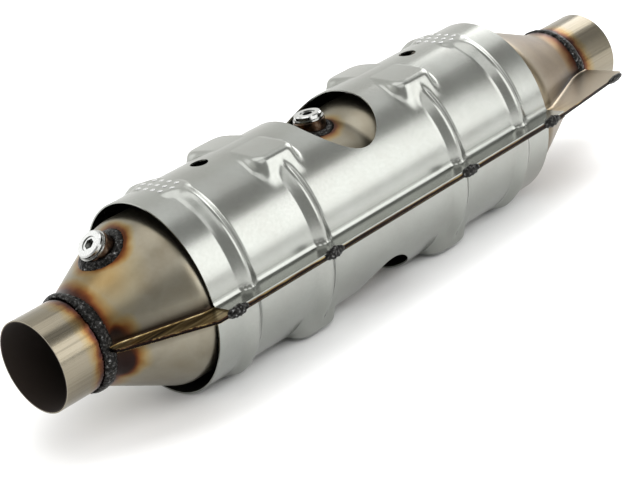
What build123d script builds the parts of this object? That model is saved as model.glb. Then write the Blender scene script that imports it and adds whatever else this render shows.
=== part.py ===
from build123d import *
from math import cos, hypot, radians, sin, sqrt, tan
import os

# Twin brick catalytic converter: a clamshell can between two pipe stubs, inside two stamped heat shields.
# Millimetres. The origin is the centre of the inlet pipe's mouth, +X runs to the outlet and +Z is up.
# The seam between the upper and lower halves lies in the plane z = 0.

# Pipes
pipe_diameter = 76.2
pipe_wall = 1.6
inlet_stub = 42.0
outlet_stub = 51.0
pipe_insertion = 12.0

# Can: the pressed halves of stainless sheet that hold the bricks
can_sheet = 1.5
can_radius = 71.0
inlet_collar = 7.0
inlet_cone = 64.0
front_can = 172.0
waist_cone = 20.0
waist_length = 40.0
waist_radius = 62.5
rear_can = 175.0
outlet_cone = 75.0
outlet_collar = 13.0
inlet_flare_radius = 24.0
outlet_flare_radius = 60.0
shoulder_radius = 25.0
waist_bend_radius = 12.0

# Seam flange of the can
flange_reach = 94.0
flange_set_in = 3.0
inlet_flange_width = 11.0
inlet_flange_spread = 64.0
outlet_fin_reach = 84.0
outlet_fin_corner = 4.0

# Bricks, mats and their end seals
brick_length = 150.0
mat_thickness = 4.5
seal_length = 8.0
brick_setback = 11.0

# Heat shields
shield_sheet = 1.2
shield_half_width = 73.5
shield_height = 82.0
shield_length = 410.0
shield_flange_reach = 93.5
rib_spacing = 84.0
rib_height = 5.0
rib_foot = 18.0
rib_crest = 4.0
deck_height = 82.5
deck_fall = 3.5
pad_draft = 15.0
pad_root_height = 40.0
big_pad_length = 40.0
big_pad_width = 90.0
small_pad_length = 31.0
small_pad_width = 46.0
small_pad_shift = -1.5
pad_corner_radius = 12.0
pad_edge_radius = 5.0
window_length = 73.0
window_width = 117.0
vent_diameter = 15.0

# Sensor bosses with their plugs
boss_diameter = 27.0
plug_thread = 18.0
thread_clearance = 0.1
boss_clearance = 0.1
front_boss_station = 85.0
front_boss_tilt = 40.0
front_boss_rise = 6.5
middle_boss_offset = -3.0
middle_boss_rise = 9.2
boss_depth = 5.0
boss_hole_length = 30.0
washer_diameter = 26.0
washer_thickness = 1.2
washer_bore_clearance = 0.2
plug_head_diameter = 23.5
plug_head_height = 4.0
plug_chamfer = 1.0
plug_hex = 8.0
plug_hex_depth = 6.0
plug_recess_diameter = 13.0
plug_recess_depth = 0.8
plug_shank = 13.0

# Welds
pipe_bead_width = 11.5
pipe_bead_height = 3.0
pipe_bead_root = 0.6
boss_bead_width = 5.5
boss_bead_height = 4.0
boss_bead_skirt = 0.5
tack_length = 18.0
tack_radius = 4.2
fin_bead_length = 20.0
fin_bead_radius = 2.6

# Stations along the axis, each from the one before
inlet_edge = inlet_stub
inlet_cone_start = inlet_edge + inlet_collar
front_can_start = inlet_cone_start + inlet_cone
waist_cone_start = front_can_start + front_can
waist_start = waist_cone_start + waist_cone
waist_end = waist_start + waist_length
rear_can_start = waist_end + waist_cone
outlet_cone_start = rear_can_start + rear_can
outlet_cone_end = outlet_cone_start + outlet_cone
outlet_edge = outlet_cone_end + outlet_collar
outlet_mouth = outlet_edge + outlet_stub
middle = (waist_start + waist_end) / 2
collar_radius = pipe_diameter / 2 + can_sheet
shield_start = middle - shield_length / 2
shield_end = middle + shield_length / 2
rib_stations = [middle + k * rib_spacing for k in (-2, -1, 1, 2)]
clear = 800.0
overrun = 10.0


def can_line(inset):
    """Half outline of the can, moved inwards by inset: straight runs joined by tangent arcs."""
    stations = [
        (inlet_edge, collar_radius),
        (inlet_cone_start, collar_radius),
        (front_can_start, can_radius),
        (waist_cone_start, can_radius),
        (waist_start, waist_radius),
        (waist_end, waist_radius),
        (rear_can_start, can_radius),
        (outlet_cone_start, can_radius),
        (outlet_cone_end, collar_radius),
        (outlet_edge, collar_radius),
    ]
    bends = [
        inlet_flare_radius + inset,
        shoulder_radius - inset,
        shoulder_radius - inset,
        waist_bend_radius + inset,
        waist_bend_radius + inset,
        shoulder_radius - inset,
        shoulder_radius - inset,
        outlet_flare_radius + inset,
    ]
    return FilletPolyline(*inset_points(stations, inset), radius=bends)


def inset_points(points, inset):
    """Corners of an open line moved to its right by inset, with mitred joints."""
    moved = []
    for i, (x, r) in enumerate(points):
        before = points[max(i - 1, 0)]
        after = points[min(i + 1, len(points) - 1)]
        left = (x - before[0], r - before[1])
        right = (after[0] - x, after[1] - r)
        if i == 0:
            left = right
        if i == len(points) - 1:
            right = left
        left_size = hypot(*left)
        right_size = hypot(*right)
        a = (left[1] / left_size, -left[0] / left_size)
        b = (right[1] / right_size, -right[0] / right_size)
        scale_to_corner = inset / (1 + a[0] * b[0] + a[1] * b[1])
        moved.append((x + (a[0] + b[0]) * scale_to_corner, r + (a[1] + b[1]) * scale_to_corner))
    return moved


def can_form(inset):
    """Solid inside the can's outline, inset from its outer face."""
    line = can_line(inset)
    ends = Polyline(line @ 1, ((line @ 1).X, 0), ((line @ 0).X, 0), line @ 0)
    return revolve(Plane.XY * make_face(line + ends), Axis.X)


def ring(start, length, inner, outer):
    """Plain ring along the converter's axis."""
    section = Pos(start + length / 2, (inner + outer) / 2) * Rectangle(length, outer - inner)
    return revolve(section, Axis.X)


def can_radius_at(x):
    """Outer radius of the inlet cone at a station, on its straight run."""
    share = (x - inlet_cone_start) / inlet_cone
    return collar_radius + (can_radius - collar_radius) * share


def flange_outline():
    """Plan of the can's seam flange: close to the inlet cone, straight, then a fin beside the outlet."""
    front = inlet_edge + flange_set_in
    back = outlet_edge + outlet_fin_corner
    corners = [
        (front, 0),
        (front, collar_radius + inlet_flange_width),
        (inlet_edge + inlet_flange_spread, flange_reach),
        (shield_end, flange_reach),
        (outlet_edge, outlet_fin_reach),
        (back, outlet_fin_reach - outlet_fin_corner),
        (back, 0),
    ]
    return make_face(Polyline(*corners, close=True))


def flange_plate(low, high):
    """Both sides of the seam flange between two heights."""
    side = extrude(Pos(0, 0, low) * flange_outline(), high - low)
    return side + mirror(side, Plane.XZ)


def body_shell(upper):
    """One pressed half of the can, with its half of the seam flange."""
    wall = can_form(0) - can_form(can_sheet)
    above = Pos(outlet_mouth / 2, 0, clear / 2) * Box(clear, clear, clear)
    outlet_room = ring(outlet_edge, outlet_stub, 0, collar_radius)
    plate = flange_plate(0, can_sheet) - can_form(can_sheet) - outlet_room
    shell = (wall & above) + plate
    if not upper:
        return mirror(shell, Plane.XY)
    return shell - boss_hole(front_boss_frame()) - boss_hole(middle_boss_frame())


def front_boss_frame():
    """Place on the inlet cone's top line, with Z along the boss."""
    station = front_boss_station
    return Pos(station, 0, can_radius_at(station)) * Rot(0, -front_boss_tilt, 0)


def middle_boss_frame():
    """Place on the waist between the bricks."""
    return Pos(middle + middle_boss_offset, 0, waist_radius)


def boss_hole(frame):
    """Round hole through the can's wall for a boss."""
    return frame * Cylinder(boss_diameter / 2 + boss_clearance, boss_hole_length)


def sensor_boss(frame, rise):
    """Turned boss with a through thread, set into the can's wall."""
    bottom = -boss_depth
    body = Pos(0, 0, (bottom + rise) / 2) * Cylinder(boss_diameter / 2, rise - bottom)
    top_edge = body.edges().sort_by(Axis.Z)[-1]
    body = chamfer(top_edge, plug_chamfer)
    bore = Cylinder(plug_thread / 2, clear)
    return frame * (body - bore)


def boss_bead(frame):
    """Fillet weld round a boss, with a steep skirt that reaches the can where its face falls away."""
    inner = boss_diameter / 2
    outer = inner + boss_bead_width
    drop = 2 * boss_depth
    toe = outer + boss_bead_skirt * drop
    section = Polyline((inner, boss_bead_height), (outer, 0), (toe, -drop), (inner, -drop), close=True)
    bead = revolve(Plane.XZ * make_face(section), Axis.Z)
    return frame * bead - can_form(0)


def washer(frame, rise):
    """Sealing washer under the plug's head."""
    bore = Cylinder(plug_thread / 2 + washer_bore_clearance, washer_thickness)
    disc = Cylinder(washer_diameter / 2, washer_thickness) - bore
    return frame * Pos(0, 0, rise + washer_thickness / 2) * disc


def sensor_plug(frame, rise):
    """Threaded plug with a round head and a hexagon socket in a shallow recess."""
    seat = rise + washer_thickness
    head = Pos(0, 0, seat + plug_head_height / 2) * Cylinder(plug_head_diameter / 2, plug_head_height)
    head = chamfer(head.edges().sort_by(Axis.Z)[-1], plug_chamfer)
    shank_radius = plug_thread / 2 - thread_clearance
    shank = Pos(0, 0, seat - plug_shank / 2) * Cylinder(shank_radius, plug_shank)
    top = seat + plug_head_height
    recess = Pos(0, 0, top - plug_recess_depth / 2) * Cylinder(plug_recess_diameter / 2, plug_recess_depth)
    socket = extrude(Pos(0, 0, top) * RegularPolygon(plug_hex / 2, 6, major_radius=False), -plug_hex_depth)
    return frame * (head + shank - recess - socket)


def pipe(mouth, edge, way):
    """Pipe stub from its mouth into the collar, melted away a little where the weld's root bites in."""
    outer = pipe_diameter / 2
    inner_end = edge - way * pipe_insertion
    stub = ring(min(mouth, inner_end), abs(mouth - inner_end), outer - pipe_wall, outer)
    foot = edge + way * pipe_bead_width / 2
    return stub - ring(min(foot, edge), pipe_bead_width / 2, outer - pipe_bead_root, outer)


def pipe_bead(edge, way):
    """Weld round a pipe where it enters the can's collar; way points along the pipe, away from the can."""
    radius = pipe_diameter / 2
    foot = edge + way * pipe_bead_width / 2
    toe = edge - way * pipe_bead_width / 2
    crest = ThreePointArc((foot, radius), (edge, collar_radius + pipe_bead_height), (toe, collar_radius))
    root = radius - pipe_bead_root
    seat = Polyline((toe, collar_radius), (edge, collar_radius), (edge, root), (foot, root), (foot, radius))
    bead = revolve(make_face(crest + seat), Axis.X)
    return bead - flange_plate(-can_sheet, can_sheet) - can_form(0)


def ellipse_at(x, half_width, height):
    """Ellipse across the axis at a station."""
    return Plane.YZ.offset(x) * Ellipse(half_width, height)


def shield_form(inset):
    """Solid inside the upper shield's outer face, or inside its sheet: an ellipse, four ribs and four pads."""
    width = shield_half_width - inset
    height = shield_height - inset
    end = overrun if inset else 0
    stations = [(shield_start - end, 0)]
    for x in rib_stations:
        stations += [(x - rib_foot / 2, 0), (x - rib_crest / 2, rib_height)]
        stations += [(x + rib_crest / 2, rib_height), (x + rib_foot / 2, 0)]
    stations.append((shield_end + end, 0))
    sections = [ellipse_at(x, width + rise, height + rise) for x, rise in stations]
    form = loft(sections, ruled=True) & deck_arch(inset)
    for x, length, across in pads():
        form += Pos(x) * pad(length, across, inset)
    return form


def pads():
    """Station, length and width of each pad: the small outer ones sit a little towards the inlet."""
    small = (small_pad_shift, small_pad_length, small_pad_width)
    big = (0, big_pad_length, big_pad_width)
    sizes = (small, big, big, small)
    return [(x + shift, length, across) for x, (shift, length, across) in zip(rib_stations, sizes)]


def deck_arch(inset):
    """Long shallow arch that limits the ribs and pads: nearly flat over the crown, with a small fall."""
    half = big_pad_width / 2
    radius = (half**2 + deck_fall**2) / (2 * deck_fall)
    return Pos(middle, 0, deck_height - radius) * Rot(0, 90, 0) * Cylinder(radius - inset, clear)


def pad(length, across, inset):
    """Nearly flat pad with drafted sides, standing out where the shield's round side falls away."""
    top = deck_height - inset
    grow = tan(radians(pad_draft))
    side = inset / cos(radians(pad_draft)) - inset * grow
    depth = top - pad_root_height
    corner = pad_corner_radius - inset
    deck = Pos(0, 0, top) * RectangleRounded(length - 2 * side, across - 2 * side, corner)
    spread = 2 * (depth * grow - side)
    root = Pos(0, 0, pad_root_height) * RectangleRounded(length + spread, across + spread, corner)
    block = loft([root, deck], ruled=True)
    body = block & (Pos(-middle) * deck_arch(inset))
    rim = body.faces().sort_by(Axis.Z)[-1].edges()
    return fillet(rim, pad_edge_radius - inset)


def heat_shield(upper):
    """One stamped shield with its flanges, window and vents."""
    seam = can_sheet
    above = Pos(middle, 0, seam + clear / 2) * Box(clear, clear, clear)
    plate = Pos(middle, 0, seam + shield_sheet / 2) * Box(shield_length, 2 * shield_flange_reach, shield_sheet)
    shell = (shield_form(0) & above) + plate - shield_form(shield_sheet)
    window = Pos(middle, 0, 0) * SlotOverall(window_width, window_length, rotation=90)
    shell -= extrude(window, clear)
    for side in (-1, 1):
        vent_x = middle + side * 1.5 * rib_spacing
        shell -= Pos(vent_x, 0, clear / 2) * Cylinder(vent_diameter / 2, clear)
    return shell if upper else mirror(shell, Plane.XY)


def brick(start):
    """Ceramic honeycomb brick, kept plain."""
    radius = can_radius - can_sheet - mat_thickness
    return ring(start, brick_length, 0, radius)


def mat(start):
    """Support mat round a brick between its two end seals."""
    outer = can_radius - can_sheet
    return ring(start + seal_length, brick_length - 2 * seal_length, outer - mat_thickness, outer)


def seal(start):
    """Knitted wire seal at one end of the mat."""
    outer = can_radius - can_sheet
    return ring(start, seal_length, outer - mat_thickness, outer)


def edge_bead(x, y, length, radius, tilt=0.0):
    """Spindle of weld metal along the flange edges."""
    arc = ThreePointArc((-length / 2, 0), (0, radius), (length / 2, 0))
    base = Line((length / 2, 0), (-length / 2, 0))
    return Pos(x, y, 0) * Rot(0, 0, tilt) * revolve(make_face(arc + base), Axis.X)


def flange_stack():
    """Space of all four flanges, taken out of the tack welds."""
    thickness = can_sheet + shield_sheet
    shield_plates = Pos(middle) * Box(shield_length, 2 * shield_flange_reach, 2 * thickness)
    return flange_plate(-can_sheet, can_sheet) + shield_plates


def tack_welds():
    """Eight tacks that join the shield flanges to the can's seam, four on each side."""
    stations = [shield_start + tack_length / 3, rib_stations[1] - rib_foot / 2, rib_stations[2] - rib_foot / 2]
    stations.append(shield_end - tack_length)
    stack = flange_stack()
    welds = []
    for side in (-1, 1):
        for x in stations:
            welds.append(edge_bead(x, side * flange_reach, tack_length, tack_radius) - stack)
    return welds


def fin_bead(side):
    """Weld along the last stretch of a fin's outer edge."""
    run = outlet_edge - shield_end
    drop = flange_reach - outlet_fin_reach
    share = fin_bead_length / 2 / run
    x = outlet_edge - fin_bead_length / 2
    y = outlet_fin_reach + drop * share
    turn = -side * Vector(run, drop).get_angle(Vector(1, 0))
    return edge_bead(x, side * y, fin_bead_length, fin_bead_radius, turn) - flange_plate(-can_sheet, can_sheet)


def all_parts():
    """Every piece by its node name."""
    front_brick_start = front_can_start + brick_setback
    rear_brick_start = rear_can_start + brick_setback
    seal_offset = brick_length - seal_length
    parts = {
        "inlet_pipe": pipe(0, inlet_edge, -1),
        "outlet_pipe": pipe(outlet_mouth, outlet_edge, 1),
        "upper_body_shell": body_shell(True),
        "lower_body_shell": body_shell(False),
        "upper_heat_shield": heat_shield(True),
        "lower_heat_shield": heat_shield(False),
        "front_substrate": brick(front_brick_start),
        "rear_substrate": brick(rear_brick_start),
        "front_support_mat": mat(front_brick_start),
        "rear_support_mat": mat(rear_brick_start),
        "front_brick_inlet_seal": seal(front_brick_start),
        "front_brick_outlet_seal": seal(front_brick_start + seal_offset),
        "rear_brick_inlet_seal": seal(rear_brick_start),
        "rear_brick_outlet_seal": seal(rear_brick_start + seal_offset),
        "inlet_weld": pipe_bead(inlet_edge, -1),
        "outlet_weld": pipe_bead(outlet_edge, 1),
        "shield_tack_welds": Compound(children=tack_welds()),
        "left_fin_weld": fin_bead(1),
        "right_fin_weld": fin_bead(-1),
    }
    for name, frame, rise in (
        ("front", front_boss_frame(), front_boss_rise),
        ("middle", middle_boss_frame(), middle_boss_rise),
    ):
        parts[name + "_sensor_boss"] = sensor_boss(frame, rise)
        parts[name + "_boss_weld"] = boss_bead(frame)
        parts[name + "_plug_washer"] = washer(frame, rise)
        parts[name + "_sensor_plug"] = sensor_plug(frame, rise)
    return parts


os.makedirs("parts", exist_ok=True)
for name, shape in all_parts().items():
    export_step(shape, "parts/" + name + ".step")
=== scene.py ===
import math

import bpy
import numpy as np
from mathutils import Matrix, Vector, noise


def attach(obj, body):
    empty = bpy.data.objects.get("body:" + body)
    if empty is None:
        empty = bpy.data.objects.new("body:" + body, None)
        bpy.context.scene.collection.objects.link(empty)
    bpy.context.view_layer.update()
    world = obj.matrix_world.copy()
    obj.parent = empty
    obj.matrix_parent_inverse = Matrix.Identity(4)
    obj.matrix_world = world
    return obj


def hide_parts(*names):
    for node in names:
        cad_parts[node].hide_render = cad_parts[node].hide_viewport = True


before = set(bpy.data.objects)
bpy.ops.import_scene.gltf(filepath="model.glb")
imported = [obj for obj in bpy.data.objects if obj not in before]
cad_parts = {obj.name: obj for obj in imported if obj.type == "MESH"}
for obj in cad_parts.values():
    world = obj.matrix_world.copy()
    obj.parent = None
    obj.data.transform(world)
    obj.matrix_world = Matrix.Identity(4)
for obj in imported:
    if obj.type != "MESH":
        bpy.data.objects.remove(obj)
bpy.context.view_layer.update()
scene = bpy.context.scene
scene.view_settings.view_transform = "Standard"
print("frame loaded", len(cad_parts), "nodes")

mm = 0.001


# Small helpers: selection, grids, modifiers

def deselectAll():
    if bpy.context.mode != "OBJECT":
        bpy.ops.object.mode_set(mode="OBJECT")
    bpy.ops.object.select_all(action="DESELECT")


def pick(piece):
    deselectAll()
    piece.select_set(True)
    bpy.context.view_layer.objects.active = piece


def applyModifier(piece, kind, **settings):
    pick(piece)
    modifier = piece.modifiers.new(kind.lower(), kind)
    for name, value in settings.items():
        setattr(modifier, name, value)
    bpy.ops.object.modifier_apply(modifier=modifier.name)


def shapedGrid(name, points):
    # a flat grid is added, and its points are then pulled to the places in millimetres
    rows, columns = points.shape[:2]
    deselectAll()
    bpy.ops.mesh.primitive_grid_add(x_subdivisions=columns - 1, y_subdivisions=rows - 1, size=1)
    piece = bpy.context.active_object
    piece.name = name
    piece.data.name = name
    count = len(piece.data.vertices)
    flat = np.zeros(count * 3)
    piece.data.vertices.foreach_get("co", flat)
    flat = flat.reshape(-1, 3)
    column = np.rint((flat[:, 0] + 0.5) * (columns - 1)).astype(int)
    row = np.rint((flat[:, 1] + 0.5) * (rows - 1)).astype(int)
    piece.data.vertices.foreach_set("co", (points[row, column] * mm).ravel())
    piece.data.update()
    return piece


def closeSeams(piece, gap):
    # doubles are merged and the faces turned outward
    pick(piece)
    bpy.ops.object.mode_set(mode="EDIT")
    bpy.ops.mesh.select_all(action="SELECT")
    bpy.ops.mesh.remove_doubles(threshold=gap * mm)
    bpy.ops.mesh.normals_make_consistent(inside=False)
    bpy.ops.object.mode_set(mode="OBJECT")


def flipFaces(piece):
    pick(piece)
    bpy.ops.object.mode_set(mode="EDIT")
    bpy.ops.mesh.select_all(action="SELECT")
    bpy.ops.mesh.flip_normals()
    bpy.ops.object.mode_set(mode="OBJECT")


def pointUp(piece, direction):
    # an open sheet: its faces are turned to the side that direction gives
    total = sum((p.normal.dot(direction) * p.area for p in piece.data.polygons))
    if total < 0:
        flipFaces(piece)


def cutWith(piece, cutter):
    applyModifier(piece, "BOOLEAN", operation="DIFFERENCE", solver="EXACT", object=cutter)
    bpy.data.objects.remove(cutter)


def smoothShade(piece, angle):
    pick(piece)
    bpy.ops.object.shade_smooth_by_angle(angle=math.radians(angle))


def mirroredCopy(piece, name):
    # the lower half: an own mesh turned over in z, with its faces put right again
    copy = piece.copy()
    copy.data = piece.data.copy()
    copy.name = name
    copy.data.name = name
    scene.collection.objects.link(copy)
    copy.data.transform(Matrix.Scale(-1, 4, (0, 0, 1)))
    flipFaces(copy)
    return copy


def joined(pieces, name):
    deselectAll()
    for piece in pieces:
        piece.select_set(True)
    bpy.context.view_layer.objects.active = pieces[0]
    bpy.ops.object.join()
    whole = bpy.context.active_object
    whole.name = name
    return whole


def settle(piece, material, slot, *nodes):
    piece.data.materials.clear()
    piece.data.materials.append(material)
    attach(piece, "root")
    if nodes:
        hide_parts(*nodes)


# Blending of forms, all in millimetres; negative is inside.
# The sheet forms are skins pulled onto a field, because ribs, pads and folds run into each other
# in ways that extrudes and bevels of a primitive don't give.

pull = {
    "inward": -5.0,
    "outward": 24.0,
    "foldShare": 0.9,  # near the fold a point moves less than the fold's radius
    "halvings": 26,
}
tiny = 1e-6
almostZero = 1e-9


def roundUnion(a, b, radius):
    u = np.maximum(radius - a, 0)
    v = np.maximum(radius - b, 0)
    return np.maximum(radius, np.minimum(a, b)) - np.sqrt(u * u + v * v)


def roundCut(a, b, radius):
    u = np.maximum(radius + a, 0)
    v = np.maximum(radius + b, 0)
    return np.minimum(-radius, np.maximum(a, b)) + np.sqrt(u * u + v * v)


def ellipseField(y, z, halfWidth, height):
    k1 = np.sqrt((y / halfWidth) ** 2 + (z / height) ** 2)
    k2 = np.sqrt((y / halfWidth**2) ** 2 + (z / height**2) ** 2)
    return k1 * (k1 - 1) / np.maximum(k2, almostZero)


def wallGuide(halfWidth, height, floorLevel, reach, fold, wallShares, foldCount, flangeCount):
    # half a section from the crown down the wall, round the fold and out along the flange:
    # each guide point has the way along which the real surface is looked for
    low = math.asin(min(1, (floorLevel + fold) / height))
    angles = math.pi / 2 + (low - math.pi / 2) * wallShares
    y = halfWidth * np.cos(angles)
    z = height * np.sin(angles)
    ny = np.cos(angles) / halfWidth
    nz = np.sin(angles) / height
    size = np.hypot(ny, nz)
    ny, nz = ny / size, nz / size
    limit = np.full(len(angles), pull["outward"])
    foldLimit = fold * pull["foldShare"]
    turn = np.linspace(math.pi, 1.5 * math.pi, foldCount + 1)[1:]
    centreY = y[-1] + fold
    centreZ = floorLevel + fold
    startTurn = math.atan2(-nz[-1], -ny[-1]) % (2 * math.pi)
    lean = startTurn + (1.5 * math.pi - startTurn) * np.linspace(0, 1, foldCount + 1)[1:]
    y = np.append(y, centreY + fold * np.cos(turn))
    z = np.append(z, centreZ + fold * np.sin(turn))
    ny = np.append(ny, -np.cos(lean))
    nz = np.append(nz, -np.sin(lean))
    limit = np.append(limit, np.full(foldCount, foldLimit))
    out = np.linspace(centreY, reach, flangeCount + 1)[1:]
    y = np.append(y, out)
    z = np.append(z, np.full(flangeCount, floorLevel))
    ny = np.append(ny, np.zeros(flangeCount))
    nz = np.append(nz, np.ones(flangeCount))
    limit = np.append(limit, np.full(flangeCount, foldLimit))
    return y, z, ny, nz, limit


def bothSides(half):
    # the other half is the same, turned over in y, and shares the crown
    y, z, ny, nz, limit = half
    return (
        np.concatenate([-y[::-1], y[1:]]),
        np.concatenate([z[::-1], z[1:]]),
        np.concatenate([-ny[::-1], ny[1:]]),
        np.concatenate([nz[::-1], nz[1:]]),
        np.concatenate([limit[::-1], limit[1:]]),
    )


def pulledToForm(stations, guides, field):
    # every guide point moves along its way until it lies on the form
    x = np.repeat(np.array(stations)[:, None], len(guides[0][0]), axis=1)
    y, z, ny, nz, limit = (np.array([g[i] for g in guides]) for i in range(5))
    low = np.full(x.shape, pull["inward"])
    high = limit.copy()
    for _ in range(pull["halvings"]):
        middle = (low + high) / 2
        inside = field(x, y + ny * middle, z + nz * middle) < 0
        low = np.where(inside, middle, low)
        high = np.where(inside, high, middle)
    distance = (low + high) / 2
    return np.stack([x, y + ny * distance, z + nz * distance], axis=2)


def spacedStations(start, end, wide, zones):
    # stations along the part: wide steps, with finer ones in each zone (from, to, step)
    stations = [start]
    while stations[-1] < end - tiny:
        here = stations[-1]
        step = wide
        for low, high, fine in zones:
            if low - tiny <= here < high:
                step = fine
            elif here < low < here + step:
                step = low - here
        stations.append(min(end, here + step))
    return stations


# Materials

def linearColour(code):
    parts = [int(code[i : i + 2], 16) / 255 for i in (1, 3, 5)]
    return tuple(p / 12.92 if p <= 0.04045 else ((p + 0.055) / 1.055) ** 2.4 for p in parts) + (1,)


def setInputs(tree, node, inputs):
    # an input may be a plain value, a socket, or a node, which then gives its first output
    for key, value in inputs.items():
        if isinstance(value, bpy.types.Node):
            value = value.outputs[0]
        if isinstance(value, bpy.types.NodeSocket):
            tree.links.new(value, node.inputs[key])
        else:
            node.inputs[key].default_value = value


def addNode(tree, kind, inputs=None, **settings):
    node = tree.nodes.new(kind)
    for name, value in settings.items():
        setattr(node, name, value)
    setInputs(tree, node, inputs or {})
    return node


def fillRamp(node, stops):
    ramp = node.color_ramp
    while len(ramp.elements) > 1:
        ramp.elements.remove(ramp.elements[-1])
    ramp.elements[0].position = stops[0][0]
    ramp.elements[0].color = linearColour(stops[0][1])
    for position, code in stops[1:]:
        element = ramp.elements.new(position)
        element.color = linearColour(code)
    return node.outputs["Color"]


# a colour Mix node has its share in socket 0, its colours in 6 and 7, and its result in output 2
mixing = {"data_type": "RGBA"}
multiplying = {"data_type": "RGBA", "blend_type": "MULTIPLY"}


def newMaterial(name):
    material = bpy.data.materials.new(name)
    material.use_nodes = True
    tree = material.node_tree
    shader = tree.nodes["Principled BSDF"]
    place = addNode(tree, "ShaderNodeTexCoord").outputs["Object"]
    return material, tree, shader, place


def perMetre(size):
    # a noise of scale 1 has features about one unit wide, so this gives features of size millimetres
    return 1 / (size * mm)


def streaks(tree, place, sizes, detail):
    # streaks as long, wide and high as sizes says, in millimetres
    scales = tuple(perMetre(size) for size in sizes)
    stretched = addNode(tree, "ShaderNodeMapping", {"Vector": place, "Scale": scales})
    return addNode(tree, "ShaderNodeTexNoise", {"Vector": stretched, "Scale": 1.0, "Detail": detail})


# satin aluminised steel, pressed: light neutral grey with a faint green cast, soft wide highlights,
# a fine grain from the dipped coating and faint clouds where the press has rubbed it
shieldLook = {
    "clouds": [(0.3, "#999a95"), (0.55, "#9d9f9a"), (0.8, "#a2a39f")],
    "cloud": {"Scale": perMetre(34), "Detail": 4},
    "speck": [(0.35, "#fafafa"), (0.65, "#ffffff")],
    "grain": {"Scale": perMetre(2.6), "Detail": 3},
    # painted shade on the lower shield's cut edge under the seam
    "edge": "#2b2320",
    "rim": 93.2,  # from here out the flange is edge
    "roughness": {"To Min": 0.22, "To Max": 0.28},
}


def aluminisedSteel():
    look = shieldLook
    material, tree, shader, place = newMaterial("aluminisedSteelPressed")
    cloud = addNode(tree, "ShaderNodeTexNoise", {"Vector": place, **look["cloud"]})
    grain = addNode(tree, "ShaderNodeTexNoise", {"Vector": place, **look["grain"]})
    colour = fillRamp(addNode(tree, "ShaderNodeValToRGB", {"Fac": cloud}), look["clouds"])
    speck = fillRamp(addNode(tree, "ShaderNodeValToRGB", {"Fac": grain}), look["speck"])
    colour = addNode(tree, "ShaderNodeMix", {0: 1.0, 6: colour, 7: speck}, **multiplying).outputs[2]
    # painted shade: the lower shield's cut edge under the seam is painted dark along the whole seam
    axes = addNode(tree, "ShaderNodeSeparateXYZ", {"Vector": place})
    reach = addNode(tree, "ShaderNodeMath", {0: axes.outputs["Y"]}, operation="ABSOLUTE")
    onRim = addNode(tree, "ShaderNodeMath", {0: reach, 1: look["rim"] * mm}, operation="GREATER_THAN")
    below = addNode(tree, "ShaderNodeMath", {0: axes.outputs["Z"], 1: 0.0}, operation="LESS_THAN")
    seamEdgeShade = addNode(tree, "ShaderNodeMath", {0: onRim, 1: below}, operation="MULTIPLY")
    edge = linearColour(look["edge"])
    colour = addNode(tree, "ShaderNodeMix", {0: seamEdgeShade, 6: colour, 7: edge}, **mixing).outputs[2]
    rough = addNode(tree, "ShaderNodeMapRange", {"Value": cloud, **look["roughness"]})
    setInputs(tree, shader, {"Base Color": colour, "Roughness": rough, "Metallic": 1.0})
    return material


# stainless sheet, pressed and welded: warm grey, with the straw, orange, brown and blue-black rings
# that heat leaves round each weld, an olive smoke along the seam and fine rub lines round the cones
canLook = {
    "rings": [
        (0.0, "#888375"),
        (0.12, "#8c836c"),
        (0.26, "#8c7955"),
        (0.42, "#7e5e37"),
        (0.52, "#684024"),
        (0.6, "#4a2819"),
        (0.7, "#2b1d1a"),
        (0.82, "#1e1e21"),
        (1.0, "#161719"),
    ],
    "heat": [  # a station or a point, the near and far distance, and the most heat there
        (42, 5.0, 21.0, 0.66),
        ((49, 44, 6), 7.0, 21.0, 0.76),
        ((49, -44, 6), 7.0, 21.0, 0.76),
        ((48, -40, -17), 11.0, 27.0, 0.74),
        ((68, -22, 46), 6.0, 36.0, 0.27),
        (628, 5.0, 24.0, 0.62),
        ((87.5, 0, 57.0), 20.5, 31.0, 0.58),
        ((322, 0, 61.5), 19.5, 30.0, 0.6),
    ],
    "drift": {"Scale": perMetre(20), "Detail": 2},
    "wander": 2.8,
    "clouds": [(0.3, "#d9d2c8"), (0.55, "#ffffff"), (0.8, "#efe6d9")],
    "cloud": {"Scale": perMetre(40), "Detail": 5},
    "smoke": "#241a12",
    "smokeHeight": {"From Min": 3.5 * mm, "From Max": 14 * mm, "To Min": 0.97, "To Max": 0.0},
    "smokeReach": [(130, 175), (585, 545)],
    "browned": "#cdb99f",
    "brownedReach": {"From Min": 500 * mm, "From Max": 560 * mm},
    "finTan": "#a39784",
    "flangeHeight": 2.2,
    "goldShare": 0.75,
    "strand": {"sizes": (34, 3.2, 3.2), "detail": 4},
    "gold": [(0.3, "#3b2e1f"), (0.45, "#8a7348"), (0.56, "#b7a06f"), (0.7, "#dccb9f")],
    # painted highlight on the upper part of the flange's edge, painted shade below it
    "rimPaintedHighlight": [(0.42, "#1c110e"), (0.56, "#3e281e"), (0.7, "#89774c")],
    "rimPaintedShade": "#130f0e",
    "rimHeight": 1.42,
    "rimPaintedHighlightFrom": 0.5,
    "glint": {"sizes": (30, 2, 2), "detail": 3},
    "rubLine": {"sizes": (18, 0.8, 0.8), "detail": 4},
    "rubDepth": {"Strength": 0.08, "Distance": 0.1 * mm},
    "roughness": {"To Min": 0.26, "To Max": 0.38},
}


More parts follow.
